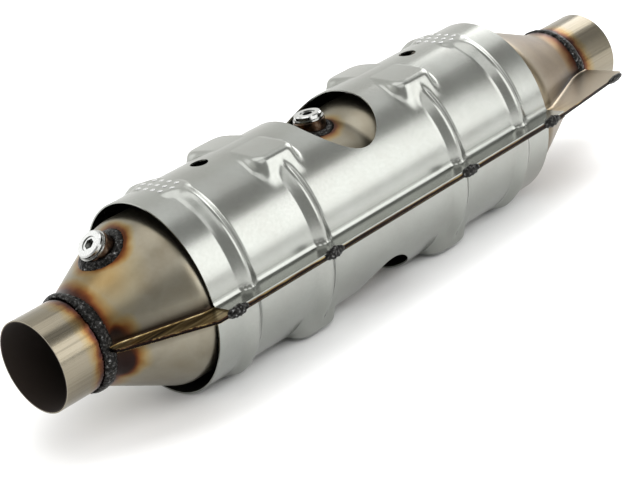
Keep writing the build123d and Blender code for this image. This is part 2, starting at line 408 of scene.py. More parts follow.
def heatTint(tree, place, along, look):
    # each source gives its most heat at its near distance and none at its far one; the warmest
    # counts, and the distances wander by a few millimetres
    drift = addNode(tree, "ShaderNodeTexNoise", {"Vector": place, **look["drift"]})
    wander = look["wander"] * mm
    # nearly all of a noise lies between 0.25 and 0.75
    bothWays = {"From Min": 0.25, "From Max": 0.75, "To Min": -wander, "To Max": wander}
    wobble = addNode(tree, "ShaderNodeMapRange", {"Value": drift, **bothWays})
    heat = None
    for where, near, far, most in look["heat"]:
        if isinstance(where, tuple):
            point = tuple(c * mm for c in where)
            away = addNode(tree, "ShaderNodeVectorMath", {0: place, 1: point}, operation="DISTANCE")
            distance = away.outputs["Value"]
        else:
            off = addNode(tree, "ShaderNodeMath", {0: along, 1: where * mm}, operation="SUBTRACT")
            distance = addNode(tree, "ShaderNodeMath", {0: off}, operation="ABSOLUTE")
        shifted = addNode(tree, "ShaderNodeMath", {0: distance, 1: wobble}, operation="ADD")
        fade = {"From Min": near * mm, "From Max": far * mm, "To Min": most, "To Max": 0.0}
        share = addNode(tree, "ShaderNodeMapRange", {"Value": shifted, **fade})
        if heat is None:
            heat = share
        else:
            heat = addNode(tree, "ShaderNodeMath", {0: heat, 1: share}, operation="MAXIMUM")
    return fillRamp(addNode(tree, "ShaderNodeValToRGB", {"Fac": heat}), look["rings"])


def weldedStainless():
    look = canLook
    material, tree, shader, place = newMaterial("stainlessSheetHeatTinted")
    axes = addNode(tree, "ShaderNodeSeparateXYZ", {"Vector": place})
    along = axes.outputs["X"]
    height = addNode(tree, "ShaderNodeMath", {0: axes.outputs["Z"]}, operation="ABSOLUTE")
    tint = heatTint(tree, place, along, look)
    cloud = addNode(tree, "ShaderNodeTexNoise", {"Vector": place, **look["cloud"]})
    shade = fillRamp(addNode(tree, "ShaderNodeValToRGB", {"Fac": cloud}), look["clouds"])
    colour = addNode(tree, "ShaderNodeMix", {0: 1.0, 6: tint, 7: shade}, **multiplying).outputs[2]
    # smoke lies along the seam, beside the pipes only
    nearSeam = addNode(tree, "ShaderNodeMapRange", {"Value": height, **look["smokeHeight"]})
    atEnds = []
    for near, far in look["smokeReach"]:
        fade = {"From Min": near * mm, "From Max": far * mm, "To Min": 1.0, "To Max": 0.0}
        atEnds.append(addNode(tree, "ShaderNodeMapRange", {"Value": along, **fade}))
    atEnd = addNode(tree, "ShaderNodeMath", {0: atEnds[0], 1: atEnds[1]}, operation="MAXIMUM")
    smoke = addNode(tree, "ShaderNodeMath", {0: nearSeam, 1: atEnd}, operation="MULTIPLY")
    dark = linearColour(look["smoke"])
    colour = addNode(tree, "ShaderNodeMix", {0: smoke, 6: colour, 7: dark}, **mixing).outputs[2]
    # the outlet end is browned all over
    toOutlet = addNode(tree, "ShaderNodeMapRange", {"Value": along, **look["brownedReach"]})
    brown = linearColour(look["browned"])
    colour = addNode(tree, "ShaderNodeMix", {0: toOutlet, 6: colour, 7: brown}, **multiplying).outputs[2]
    # the flat of the flange is golden in strands, and tan on the fins by the outlet
    flangeTop = look["flangeHeight"] * mm
    onFlange = addNode(tree, "ShaderNodeMath", {0: height, 1: flangeTop}, operation="LESS_THAN")
    goldPart = addNode(tree, "ShaderNodeMath", {0: onFlange, 1: look["goldShare"]}, operation="MULTIPLY")
    strand = streaks(tree, place, **look["strand"])
    gold = fillRamp(addNode(tree, "ShaderNodeValToRGB", {"Fac": strand}), look["gold"])
    finTan = linearColour(look["finTan"])
    tan = addNode(tree, "ShaderNodeMix", {0: toOutlet, 6: gold, 7: finTan}, **mixing).outputs[2]
    colour = addNode(tree, "ShaderNodeMix", {0: goldPart, 6: colour, 7: tan}, **mixing).outputs[2]
    # the flange's outer edge: a painted highlight of thin gold glints on its upper part, and painted shade
    # nearly black below
    glint = streaks(tree, place, **look["glint"])
    rimPaintedHighlight = fillRamp(addNode(tree, "ShaderNodeValToRGB", {"Fac": glint}), look["rimPaintedHighlight"])
    rimPaintedShade = linearColour(look["rimPaintedShade"])
    topFrom = look["rimPaintedHighlightFrom"] * mm
    upper = addNode(tree, "ShaderNodeMath", {0: axes.outputs["Z"], 1: topFrom}, operation="GREATER_THAN")
    rim = addNode(tree, "ShaderNodeMix", {0: upper, 6: rimPaintedShade, 7: rimPaintedHighlight}, **mixing).outputs[2]
    onRim = addNode(tree, "ShaderNodeMath", {0: height, 1: look["rimHeight"] * mm}, operation="LESS_THAN")
    colour = addNode(tree, "ShaderNodeMix", {0: onRim, 6: colour, 7: rim}, **mixing).outputs[2]
    rub = streaks(tree, place, **look["rubLine"])
    rough = addNode(tree, "ShaderNodeMapRange", {"Value": rub, **look["roughness"]})
    bump = addNode(tree, "ShaderNodeBump", {"Height": rub, **look["rubDepth"]})
    setInputs(tree, shader, {"Base Color": colour, "Roughness": rough, "Metallic": 1.0, "Normal": bump})
    return material


# drawn stainless tube: long rub lines run with the axis, tinted by the weld, with painted shade in the bore
pipeLook = {
    "rings": [
        (0.0, "#898375"),
        (0.25, "#8c7f63"),
        (0.42, "#866b45"),
        (0.56, "#68432b"),
        (0.7, "#3f2826"),
        (1.0, "#1d1918"),
    ],
    "heat": [(42, 5.0, 20.0, 0.78), (628, 5.0, 22.0, 0.78)],
    "drift": {"Scale": perMetre(12), "Detail": 3},
    "wander": 3.0,
    "lines": [(0.3, "#a89f92"), (0.5, "#f4f0e8"), (0.7, "#cfc7b9")],
    "lineShare": 0.5,
    "rubLine": {"sizes": (160, 2.2, 2.2), "detail": 5},
    "rubDepth": {"Strength": 0.1, "Distance": 0.1 * mm},
    "boreShade": "#231b16",
    "boreRadius": 37.3,
    "roughness": {"To Min": 0.17, "To Max": 0.27},
}


def drawnTube():
    look = pipeLook
    material, tree, shader, place = newMaterial("stainlessTubeDrawn")
    axes = addNode(tree, "ShaderNodeSeparateXYZ", {"Vector": place})
    tint = heatTint(tree, place, axes.outputs["X"], look)
    rub = streaks(tree, place, **look["rubLine"])
    lines = fillRamp(addNode(tree, "ShaderNodeValToRGB", {"Fac": rub}), look["lines"])
    share = look["lineShare"]
    lined = addNode(tree, "ShaderNodeMix", {0: share, 6: tint, 7: lines}, **multiplying).outputs[2]
    # painted shade: inside the bore the colour is near-black, matt and no metal
    across = addNode(tree, "ShaderNodeCombineXYZ", {"Y": axes.outputs["Y"], "Z": axes.outputs["Z"]})
    radius = addNode(tree, "ShaderNodeVectorMath", {0: across}, operation="LENGTH").outputs["Value"]
    inBore = addNode(tree, "ShaderNodeMath", {0: radius, 1: look["boreRadius"] * mm}, operation="LESS_THAN")
    boreShade = linearColour(look["boreShade"])
    boreShaded = addNode(tree, "ShaderNodeMix", {0: inBore, 6: lined, 7: boreShade}, **mixing).outputs[2]
    fine = addNode(tree, "ShaderNodeMapRange", {"Value": rub, **look["roughness"]})
    rough = addNode(tree, "ShaderNodeMath", {0: inBore, 1: fine}, operation="MAXIMUM")
    metal = addNode(tree, "ShaderNodeMath", {0: 1.0, 1: inBore}, operation="SUBTRACT")
    bump = addNode(tree, "ShaderNodeBump", {"Height": rub, **look["rubDepth"]})
    setInputs(tree, shader, {"Base Color": boreShaded, "Roughness": rough, "Metallic": metal, "Normal": bump})
    return material


# weld metal as laid: black scale over rippled steel, with bright flecks that are painted glints
weldLook = {
    # the lightest stop makes the bright flecks, painted glints
    "scale": [(0.4, "#121211"), (0.55, "#2c2b2a"), (0.63, "#575756"), (0.7, "#b1b2b1")],
    "fleck": {"Scale": perMetre(2.4), "Detail": 5, "Roughness": 0.7},
    "roughness": {"From Min": 0.4, "From Max": 0.7, "To Min": 0.48, "To Max": 0.24},
    "depth": {"Strength": 0.7, "Distance": 0.6 * mm},
}


def laidWeld():
    look = weldLook
    material, tree, shader, place = newMaterial("weldMetalAsLaid")
    fleck = addNode(tree, "ShaderNodeTexNoise", {"Vector": place, **look["fleck"]})
    colour = fillRamp(addNode(tree, "ShaderNodeValToRGB", {"Fac": fleck}), look["scale"])
    rough = addNode(tree, "ShaderNodeMapRange", {"Value": fleck, **look["roughness"]})
    bump = addNode(tree, "ShaderNodeBump", {"Height": fleck, **look["depth"]})
    setInputs(tree, shader, {"Base Color": colour, "Roughness": rough, "Metallic": 1.0, "Normal": bump})
    return material


# turned steel, browned by the weld beside it: brown patches over grey
bossLook = {
    "patches": [(0.35, "#241c17"), (0.55, "#4b382a"), (0.72, "#736557")],
    "patch": {"Scale": perMetre(5), "Detail": 4},
    "depth": {"Strength": 0.15, "Distance": 0.2 * mm},
    "roughness": 0.36,
}


def brownedSteel():
    look = bossLook
    material, tree, shader, place = newMaterial("turnedSteelBrowned")
    patch = addNode(tree, "ShaderNodeTexNoise", {"Vector": place, **look["patch"]})
    colour = fillRamp(addNode(tree, "ShaderNodeValToRGB", {"Fac": patch}), look["patches"])
    bump = addNode(tree, "ShaderNodeBump", {"Height": patch, **look["depth"]})
    rough = look["roughness"]
    setInputs(tree, shader, {"Base Color": colour, "Roughness": rough, "Metallic": 1.0, "Normal": bump})
    return material


# zinc plated steel, turned: bright and cool, with painted shade darkening the socket and the place under
# the head
zincLook = {
    "grain": {"Scale": perMetre(1.1), "Detail": 3},
    "grainEdges": (0.3, 0.65),
    "paintedShade": [(0.3, "#1c1815"), (0.72, "#ffffff")],
    "paintedShadeReach": {"Distance": 5 * mm},
    "paintedShadeSamples": 8,
    "roughness": {"To Min": 0.12, "To Max": 0.2},
}


def brightZinc(name, light, dark):
    look = zincLook
    material, tree, shader, place = newMaterial(name)
    grain = addNode(tree, "ShaderNodeTexNoise", {"Vector": place, **look["grain"]})
    start, end = look["grainEdges"]
    colour = fillRamp(addNode(tree, "ShaderNodeValToRGB", {"Fac": grain}), [(start, dark), (end, light)])
    # painted shade: an occlusion node darkens the colour in the socket, in gaps and at the foot of raised
    # parts
    samples = look["paintedShadeSamples"]
    openness = addNode(tree, "ShaderNodeAmbientOcclusion", look["paintedShadeReach"], samples=samples)
    paintedShade = fillRamp(addNode(tree, "ShaderNodeValToRGB", {"Fac": openness.outputs["AO"]}), look["paintedShade"])
    colour = addNode(tree, "ShaderNodeMix", {0: 1.0, 6: colour, 7: paintedShade}, **multiplying).outputs[2]
    rough = addNode(tree, "ShaderNodeMapRange", {"Value": grain, **look["roughness"]})
    setInputs(tree, shader, {"Base Color": colour, "Roughness": rough, "Metallic": 1.0})
    return material


# cordierite ceramic with a washcoat: matt pale brown, its cells drawn as a 1.3 mm grid on the ends; the
# open cells are painted shade in dark brown, between walls of the ceramic's own colour
ceramicLook = {
    "cell": 1.3,
    "wallShare": 0.14,
    # painted shade: the cells are dark as the shade down the open holes
    "paintedCellShade": ("#2b2119", "#33281f"),
    "walls": "#a08a6c",
    "roughness": 0.85,
}


def coatedCeramic():
    look = ceramicLook
    material, tree, shader, place = newMaterial("cordieriteHoneycomb")
    onEnds = addNode(tree, "ShaderNodeMapping", {"Vector": place, "Rotation": (0, math.pi / 2, 0)})
    first, second = look["paintedCellShade"]
    cells = addNode(
        tree,
        "ShaderNodeTexBrick",
        {
            "Vector": onEnds,
            "Color1": linearColour(first),
            "Color2": linearColour(second),
            "Mortar": linearColour(look["walls"]),
            "Scale": perMetre(look["cell"]),
            "Mortar Size": look["wallShare"],
            "Brick Width": 1.0,
            "Row Height": 1.0,
        },
        offset=0.0,
    )
    setInputs(tree, shader, {"Base Color": cells, "Roughness": look["roughness"]})
    return material


# expanding fibre mat: off-white, matt, with short fibres
fibreLook = {
    "shades": [(0.3, "#b3ab9d"), (0.7, "#d9d3c7")],
    "fibre": {"Scale": perMetre(2), "Detail": 6},
    "depth": {"Strength": 0.4, "Distance": 0.5 * mm},
    "roughness": 0.95,
}


def fibreMat():
    look = fibreLook
    material, tree, shader, place = newMaterial("ceramicFibreMat")
    fibre = addNode(tree, "ShaderNodeTexNoise", {"Vector": place, **look["fibre"]})
    colour = fillRamp(addNode(tree, "ShaderNodeValToRGB", {"Fac": fibre}), look["shades"])
    bump = addNode(tree, "ShaderNodeBump", {"Height": fibre, **look["depth"]})
    setInputs(tree, shader, {"Base Color": colour, "Roughness": look["roughness"], "Normal": bump})
    return material


# knitted stainless wire, pressed to a ring: grey with a 1.5 mm crossed weave
wireLook = {
    "shades": [(0.0, "#8c8a85"), (0.6, "#4b4a47")],
    "loop": {"Scale": perMetre(1.5)},
    "depth": {"Strength": 0.5, "Distance": 0.4 * mm},
    "roughness": 0.45,
}


def knittedWire():
    look = wireLook
    material, tree, shader, place = newMaterial("knittedWirePressed")
    weave = addNode(tree, "ShaderNodeTexVoronoi", {"Vector": place, **look["loop"]})
    colour = fillRamp(addNode(tree, "ShaderNodeValToRGB", {"Fac": weave}), look["shades"])
    bump = addNode(tree, "ShaderNodeBump", {"Height": weave, **look["depth"]}, invert=True)
    rough = look["roughness"]
    setInputs(tree, shader, {"Base Color": colour, "Roughness": rough, "Metallic": 1.0, "Normal": bump})
    return material


steelShield = aluminisedSteel()
steelCan = weldedStainless()
steelPipe = drawnTube()
steelWeld = laidWeld()
steelBoss = brownedSteel()
zincPlug = brightZinc("zincPlatedSteelTurned", "#c3c4c2", "#b4b5b3")
# the raised dots are coloured much lighter than the sheet round them, a painted highlight on the dots
paintedHighlightDots = brightZinc("aluminisedSteelPaintedHighlight", "#d1d1d1", "#c4c5c2")
zincWasher = brightZinc("zincPlatedWasher", "#afafac", "#8a8a86")
ceramicBrick = coatedCeramic()
fibrePad = fibreMat()
wireSeal = knittedWire()
print("materials made")


# Heat shields: one stamping with ribs and pads, used above and below

shield = {
    "start": 120.0,
    "end": 530.0,
    "halfWidth": 73.5,
    "height": 82.0,
    "flangeTop": 2.7,
    "reach": 93.5,
    "sheet": 1.2,
    "foldRadius": 2.2,
    "guideFold": 8.0,
    "ribs": (157.0, 241.0, 409.0, 493.0),
    "ribHeight": 5.0,
    "ribFoot": 18.0,
    "ribCrest": 3.0,
    "deck": 81.7,
    "deckRadius": 291.0,
    "draft": 15.0,
    "bigPads": ((241.0, 40.0, 90.0), (409.0, 40.0, 90.0)),
    "smallPads": ((155.5, 31.0, 46.0), (491.5, 31.0, 46.0)),
    "padCorner": 12.0,
    "padEdge": 4.0,
    "padFoot": 3.0,  # its radius grows from the crown out to this
    "padFootLeast": 0.5,
    "padFootSlope": 8.0,
    "ribSoftness": (-1.2, -0.6, 0.0, 0.6, 1.2),
    "crease": 40,
    "window": (325.0, 73.0, 117.0),
    "vents": (199.0, 451.0),
    "ventDiameter": 15.0,
    "dotRows": ((-10.4, 4), (-1.7, 5), (7.0, 4)),
    "dotPitch": 8.7,
    "dotRadius": 2.1,
    "dotHeight": 0.8,
    "dotCrease": 60,
    "dotSegments": 20,
    "dotRings": 12,
    "coarseStep": 3.0,
    "fineStep": 1.2,
    "fineReach": {"smallPads": 20.0, "bigPads": 27.0},
    "crownWidth": 26.0,
    "crownCount": 27,
    "wallCount": 52,
    "foldCount": 7,
    "flangeCount": 5,
    "punchFrom": 10.0,
    "punchTo": 210.0,
    "punchSides": 72,
}


def ribRise(x):
    rise = np.zeros_like(x)
    run = (shield["ribFoot"] - shield["ribCrest"]) / 2
    for station in shield["ribs"]:
        slope = shield["ribHeight"] * (shield["ribFoot"] / 2 - np.abs(x - station)) / run
        rise = np.maximum(rise, np.clip(slope, 0, shield["ribHeight"]))
    return rise


def softRise(x):
    # softened at foot and crest by a short running mean of the same profile
    offsets = shield["ribSoftness"]
    return sum(ribRise(x + offset) for offset in offsets) / len(offsets)


def padField(x, y, z, station, length, across):
    draft = math.radians(shield["draft"])
    grow = (shield["deck"] - z) * math.tan(draft)
    corner = shield["padCorner"]
    qx = np.abs(x - station) - (length / 2 + grow - corner)
    qy = np.abs(y) - (across / 2 + grow - corner)
    outside = np.sqrt(np.maximum(qx, 0) ** 2 + np.maximum(qy, 0) ** 2)
    return (outside + np.minimum(np.maximum(qx, qy), 0) - corner) * math.cos(draft)


def shieldField(x, y, z):
    rise = softRise(x)
    deck = z - (shield["deck"] - y * y / (2 * shield["deckRadius"]))
    plain = ellipseField(y, z, shield["halfWidth"], shield["height"])
    form = np.minimum(plain, ellipseField(y, z, shield["halfWidth"] + rise, shield["height"] + rise))
    blend = np.clip(np.abs(y) / shield["padFootSlope"], shield["padFootLeast"], shield["padFoot"])
    for station, length, across in shield["bigPads"] + shield["smallPads"]:
        form = roundUnion(form, padField(x, y, z, station, length, across), blend)
    form = np.minimum(plain, roundCut(form, deck, shield["padEdge"]))
    return roundUnion(form, z - shield["flangeTop"], shield["foldRadius"])


def makeDots():
    # raised dots in staggered rows on the two small pads, too fine for the sheet's own mesh
    deselectAll()
    bpy.ops.mesh.primitive_uv_sphere_add(
        segments=shield["dotSegments"],
        ring_count=shield["dotRings"],
        radius=shield["dotRadius"] * mm,
    )
    dot = bpy.context.active_object
    dot.data.transform(Matrix.Scale(shield["dotHeight"] / shield["dotRadius"], 4, (0, 0, 1)))
    smoothShade(dot, shield["dotCrease"])
    dots = []
    for padStation, _, _ in shield["smallPads"]:
        for offset, count in shield["dotRows"]:
            for k in range(count):
                y = (k - (count - 1) / 2) * shield["dotPitch"]
                z = shield["deck"] - y * y / (2 * shield["deckRadius"])
                copy = dot.copy()
                copy.data = dot.data.copy()
                scene.collection.objects.link(copy)
                copy.data.transform(Matrix.Translation(Vector((padStation + offset, y, z)) * mm))
                dots.append(copy)
    bpy.data.objects.remove(dot)
    return joined(dots, "upperPadDots")


def makeUpperShield():
    zones = []
    for pads, reach in shield["fineReach"].items():
        for station, _, _ in shield[pads]:
            zones.append((station - reach, station + reach, shield["fineStep"]))
    stations = spacedStations(shield["start"], shield["end"], shield["coarseStep"], sorted(zones))
    # crown is the share of a quarter turn that lies over the pads
    crown = math.degrees(math.asin(shield["crownWidth"] / shield["halfWidth"])) / 90
    overPads = np.linspace(0, crown, shield["crownCount"])
    downWall = np.linspace(crown, 1, shield["wallCount"])[1:]
    half = wallGuide(
        shield["halfWidth"],
        shield["height"],
        shield["flangeTop"],
        shield["reach"],
        shield["guideFold"],
        np.concatenate([overPads, downWall]),
        shield["foldCount"],
        shield["flangeCount"],
    )
    points = pulledToForm(stations, [bothSides(half)] * len(stations), shieldField)
    piece = shapedGrid("upperHeatShieldSkin", points)
    pointUp(piece, Vector((0, 0, 1)))
    applyModifier(piece, "SOLIDIFY", thickness=shield["sheet"] * mm, offset=-1.0, use_even_offset=True)
    return piece


def roundCutter(x, diameter, stretch=0.0):
    # an upright punch; stretch draws it out across the part into a slot
    deselectAll()
    low, high = shield["punchFrom"], shield["punchTo"]
    bpy.ops.mesh.primitive_cylinder_add(
        vertices=shield["punchSides"],
        radius=diameter / 2 * mm,
        depth=(high - low) * mm,
        location=(x * mm, 0, (low + high) / 2 * mm),
    )
    cutter = bpy.context.active_object
    for vertex in cutter.data.vertices:
        vertex.co.y += math.copysign(stretch / 2 * mm, vertex.co.y)
    return cutter


upperSkin = makeUpperShield()
windowStation, windowLength, windowWidth = shield["window"]
cutWith(upperSkin, roundCutter(windowStation, windowLength, windowWidth - windowLength))
for ventStation in shield["vents"]:
    cutWith(upperSkin, roundCutter(ventStation, shield["ventDiameter"]))
smoothShade(upperSkin, shield["crease"])
lowerSkin = mirroredCopy(upperSkin, "lowerHeatShieldSkin")
settle(upperSkin, steelShield, "shield", "upper_heat_shield")
settle(lowerSkin, steelShield, "shield", "lower_heat_shield")
upperDots = makeDots()
lowerDots = mirroredCopy(upperDots, "lowerPadDots")
settle(upperDots, paintedHighlightDots, "shield")
settle(lowerDots, paintedHighlightDots, "shield")
print("heat shields made", len(upperSkin.data.polygons))


# Can halves: coned and waisted, with the seam flange and its fins

can = {
    "profile": (
        (42.0, 39.6, 0),
        (49.0, 39.6, 24.0),
        (113.0, 71.0, 25.0),
        (285.0, 71.0, 25.0),
        (305.0, 62.5, 12.0),
        (345.0, 62.5, 12.0),
        (365.0, 71.0, 25.0),
        (540.0, 71.0, 25.0),
        (615.0, 39.6, 60.0),
        (632.0, 39.6, 0),
    ),
    "sheet": 1.5,
    "foldRadius": 3.2,
    "guideFold": 6.0,
    "outline": (
        (42.0, 47.8),
        (44.9, 48.5),
        (45.0, 50.6),
        (106.0, 94.0),
        (530.0, 94.0),
        (628.0, 84.0),
        (632.0, 80.0),
    ),
    "coarseStep": 5.0,
    "fineZones": [(42, 118, 1.5), (278, 372, 2.0), (530, 632, 1.6)],
    "wallCount": 40,
    "foldCount": 8,
    "flangeCount": 8,
    "leastFlange": 0.6,
    "crease": 40,
}


def profileRadius(x):
    # straight runs joined by arcs that touch both
    corners = can["profile"]
    radius = np.interp(x, [c[0] for c in corners], [c[1] for c in corners])
    for before, corner, after in zip(corners, corners[1:], corners[2:]):
        bend = corner[2]
        a = Vector((corner[0] - before[0], corner[1] - before[1])).normalized()
        b = Vector((after[0] - corner[0], after[1] - corner[1])).normalized()
        turn = a.angle(b)
        run = bend * math.tan(turn / 2)
        start = Vector(corner[:2]) - a * run
        end = Vector(corner[:2]) + b * run
        side = 1 if a.x * b.y - a.y * b.x > 0 else -1
        centre = start + Vector((-a.y, a.x)) * bend * side
        on = (x > start.x) & (x < end.x)
        arc = centre.y - side * np.sqrt(np.maximum(bend**2 - (x - centre.x) ** 2, 0))
        radius = np.where(on, arc, radius)
    return radius


def canField(x, y, z):
    tube = np.sqrt(y * y + z * z) - profileRadius(x)
    return roundUnion(tube, z - can["sheet"], can["foldRadius"])


def makeUpperCan():
    first, last = can["profile"][0][0], can["profile"][-1][0]
    stations = spacedStations(first, last, can["coarseStep"], can["fineZones"])
    reach = np.interp(stations, [p[0] for p in can["outline"]], [p[1] for p in can["outline"]])
    shares = np.linspace(0, 1, can["wallCount"])
    fold = can["guideFold"]
    guides = []
    for x, out in zip(stations, reach):
        radius = float(profileRadius(np.array([x]))[0])
        edge = max(out, radius + fold + can["leastFlange"])  # the flange starts outside the fold
        half = wallGuide(
            radius,
            radius,
            can["sheet"],
            edge,
            fold,
            shares,
            can["foldCount"],
            can["flangeCount"],
        )
        guides.append(bothSides(half))
    points = pulledToForm(stations, guides, canField)
    piece = shapedGrid("upperCanShell", points)
    pointUp(piece, Vector((0, 0, 1)))
    applyModifier(piece, "SOLIDIFY", thickness=can["sheet"] * mm, offset=-1.0, use_even_offset=True)
    smoothShade(piece, can["crease"])
    return piece


upperCan = makeUpperCan()
lowerCan = mirroredCopy(upperCan, "lowerCanShell")
settle(upperCan, steelCan, "can", "upper_body_shell")
settle(lowerCan, steelCan, "can", "lower_body_shell")
print("can halves made", len(upperCan.data.polygons))


# Welds: laid beads with overlapping ripples, lumps and chips

beadForm = {  # what all beads share; each bead's own settings come over these
    "around": 14,
    "ripple": 3.0,
    "rippleDepth": 0.16,
    "rippleHeight": 0.9,
    "ripplePower": 0.6,
    "rippleBow": 1.6 / 3,
    "rough": 0.45,
    "lumpDepth": 0.22,
    "lumpSize": 2.1,
    "lumps": ((1.0, 1.4), (2.7, 0.5)),
    "drift": 0.3,
    "driftSize": 22,
    "wideSide": (0, 0, 0),  # points to the side where the bead is widest
    "bareEnd": 0.05,
    "seamGap": 0.02,
    "crease": 60,
}


def beadAlong(name, path, outward, closed, own):
    # path and outward are the bead's line and the way it stands off the metal, in millimetres.
    # It is swept point by point, because its overlapping ripples and lumps follow its own length
    look = {**beadForm, **own}
    count = len(path)
    around = look["around"]
    ripple, seed = look["ripple"], look["seed"]
    points = np.zeros((count, around + 1, 3))
    travelled = 0.0
    for i in range(count):
        here = Vector(path[i])
        before = Vector(path[i - 1]) if i or closed else here
        after = Vector(path[(i + 1) % count]) if closed or i < count - 1 else here
        along = (after - before).normalized()
        if i:
            travelled += (here - Vector(path[i - 1])).length
        up = Vector(outward[i]).normalized()
        side = along.cross(up).normalized()
        taper = 1.0
        if not closed:
            share = i / (count - 1)
            taper = math.sqrt(max(0.0, 1 - (2 * share - 1) ** 2))
        wander = look["drift"] * noise.noise(here / look["driftSize"] + Vector((seed, 0, 0)))
        halfWidth = look["halfWidth"] * (1 + wander + up.dot(Vector(look["wideSide"]))) * taper
        height = look["height"] * taper
        for k in range(around + 1):
            angle = 2 * math.pi * k / around
            across = math.cos(angle)
            stand = math.sin(angle)
            phase = travelled / ripple + look["rippleBow"] * across * across
            step = phase - math.floor(phase)
            wave = look["rippleHeight"] * ((1 - step) ** look["ripplePower"] - 0.5)
            spot = here / look["lumpSize"] + Vector((across, seed, stand))
            lump = sum(noise.noise(spot * finer) * share for finer, share in look["lumps"])
            swell = 1.0
            if taper > look["bareEnd"]:
                swell += look["rippleDepth"] * wave + look["lumpDepth"] * lump * look["rough"]
            place = here + side * (across * halfWidth * swell) + up * (stand * height * swell)
            points[i, k] = place[:]
    if closed:
        points = np.concatenate([points, points[:1]], axis=0)
    piece = shapedGrid(name, points)
    closeSeams(piece, look["seamGap"])
    smoothShade(piece, look["crease"])
    return piece


pipeWelds = {
    "inlet": {
        "station": 42.0,
        "radius": 38.9,
        "halfWidth": 4.3,
        "height": 2.0,
        "wideSide": (0, -0.36, -0.12),
        "rough": 0.6,
        "seed": 42 / 90,
    },
    "outlet": {
        "station": 628.0,
        "radius": 38.9,
        "halfWidth": 4.1,
        "height": 2.0,
        "wideSide": (0, -0.12, -0.04),
        "rough": 0.6,
        "seed": 628 / 90,
    },
}
ring = {"count": 260, "wander": 0.5, "waves": 3}


def ringPath(x, radius):
    # a ring round the pipe that wanders a little along it, as a hand-laid bead does
    path, outward = [], []
    for i in range(ring["count"]):
        angle = 2 * math.pi * i / ring["count"]
        out = Vector((0, math.cos(angle), math.sin(angle)))
        wander = ring["wander"] * noise.noise(Vector((x, 0, 0)) + out * ring["waves"])
        path.append((x + wander, radius * out.y, radius * out.z))
        outward.append(out)
    return path, outward


for place, weld in pipeWelds.items():
    path, outward = ringPath(weld["station"], weld["radius"])
    bead = beadAlong(place + "WeldBead", path, outward, True, weld)
    settle(bead, steelWeld, "weld", place + "_weld")

bosses = {
    "front": {
        "station": 85.0,
        "tilt": 40.0,
        "radius": 16.9,
        "halfWidth": 4.6,
        "height": 2.3,
        "ripple": 2.6,
        "seed": 43.0,
    },
    "middle": {
        "station": 322.0,
        "tilt": 0.0,
        "radius": 16.2,
        "halfWidth": 3.7,
        "height": 2.2,
        "ripple": 2.6,
        "seed": 3.0,
    },
}
bossLine = {"count": 150, "lowest": -22.0, "highest": 14.0, "halvings": 30, "lean": 0.7}


def bossPath(boss):
    # the bead's line lies where a tube round the boss meets the can
    tilt = math.radians(boss["tilt"])
    axis = Vector((-math.sin(tilt), 0, math.cos(tilt)))
    acrossX = Vector((math.cos(tilt), 0, math.sin(tilt)))
    foot = Vector((boss["station"], 0, float(profileRadius(np.array([boss["station"]]))[0])))
    path, outward = [], []
    for i in range(bossLine["count"]):
        angle = 2 * math.pi * i / bossLine["count"]
        spoke = acrossX * math.cos(angle) + Vector((0, 1, 0)) * math.sin(angle)
        start = foot + spoke * boss["radius"]
        low, high = bossLine["lowest"], bossLine["highest"]
        for _ in range(bossLine["halvings"]):
            middle = (low + high) / 2
            p = start + axis * middle
            if math.hypot(p.y, p.z) < float(profileRadius(np.array([p.x]))[0]):
                low = middle
            else:
                high = middle
        path.append((start + axis * low)[:])
        outward.append((axis + spoke * bossLine["lean"])[:])
    return path, outward


for place, boss in bosses.items():
    path, outward = bossPath(boss)
    bead = beadAlong(place + "BossBead", path, outward, True, boss)
    settle(bead, steelWeld, "weld", place + "_boss_weld")

tack = {
    "stations": (125.5, 232.0, 400.0, 512.0),
    "reach": 93.4,
    "length": 23.0,
    "halfWidth": 3.9,
    "height": 3.2,
    "ripple": 3.2,
    "rough": 1.0,
    "seed": 11.0,
}
fin = {
    "start": (604.0, 86.4),
    "end": (629.5, 83.6),
    "halfWidth": 2.9,
    "height": 2.2,
    "ripple": 2.4,
    "seed": 5.0,
}
straightCount = 26


def straightPath(start, end, outward):
    steps = np.linspace(0, 1, straightCount)[:, None]
    path = np.array(start) * (1 - steps) + np.array(end) * steps
    return path, [outward] * straightCount


def makeTacks():
    # one tack is laid and copied to eight places, every other one turned about
    path, outward = straightPath((0, 0, 0), (tack["length"], 0, 0), (0, 1, 0))
    first = beadAlong("shieldTack", path, outward, False, tack)
    copies = []
    for side in (-1, 1):
        for number, station in enumerate(tack["stations"]):
            copy = first.copy()
            copy.data = first.data.copy()
            scene.collection.objects.link(copy)
            half = tack["length"] / 2 * mm
            move = Matrix.Translation(Vector((station, side * tack["reach"], 0)) * mm)
            if (number + (side > 0)) % 2:
                move = move @ Matrix.Translation((half, 0, 0)) @ Matrix.Rotation(math.pi, 4, "Y")
            else:
                move = move @ Matrix.Translation((-half, 0, 0))
            copy.data.transform(move)
            copies.append(copy)
    bpy.data.objects.remove(first)
    return joined(copies, "shieldTacks")


settle(makeTacks(), steelWeld, "weld", "shield_tack_welds")

for name, side, node in (("finBeadLeft", 1, "left_fin_weld"), ("finBeadRight", -1, "right_fin_weld")):
    start = (fin["start"][0], side * fin["start"][1], 0)
    end = (fin["end"][0], side * fin["end"][1], 0)
    path, outward = straightPath(start, end, (0, side, 0))
    bead = beadAlong(name, path, outward, False, {**fin, "seed": fin["seed"] + side})
    settle(bead, steelWeld, "weld", node)
print("welds laid")


# The CAD pieces that are right as they are get their finish

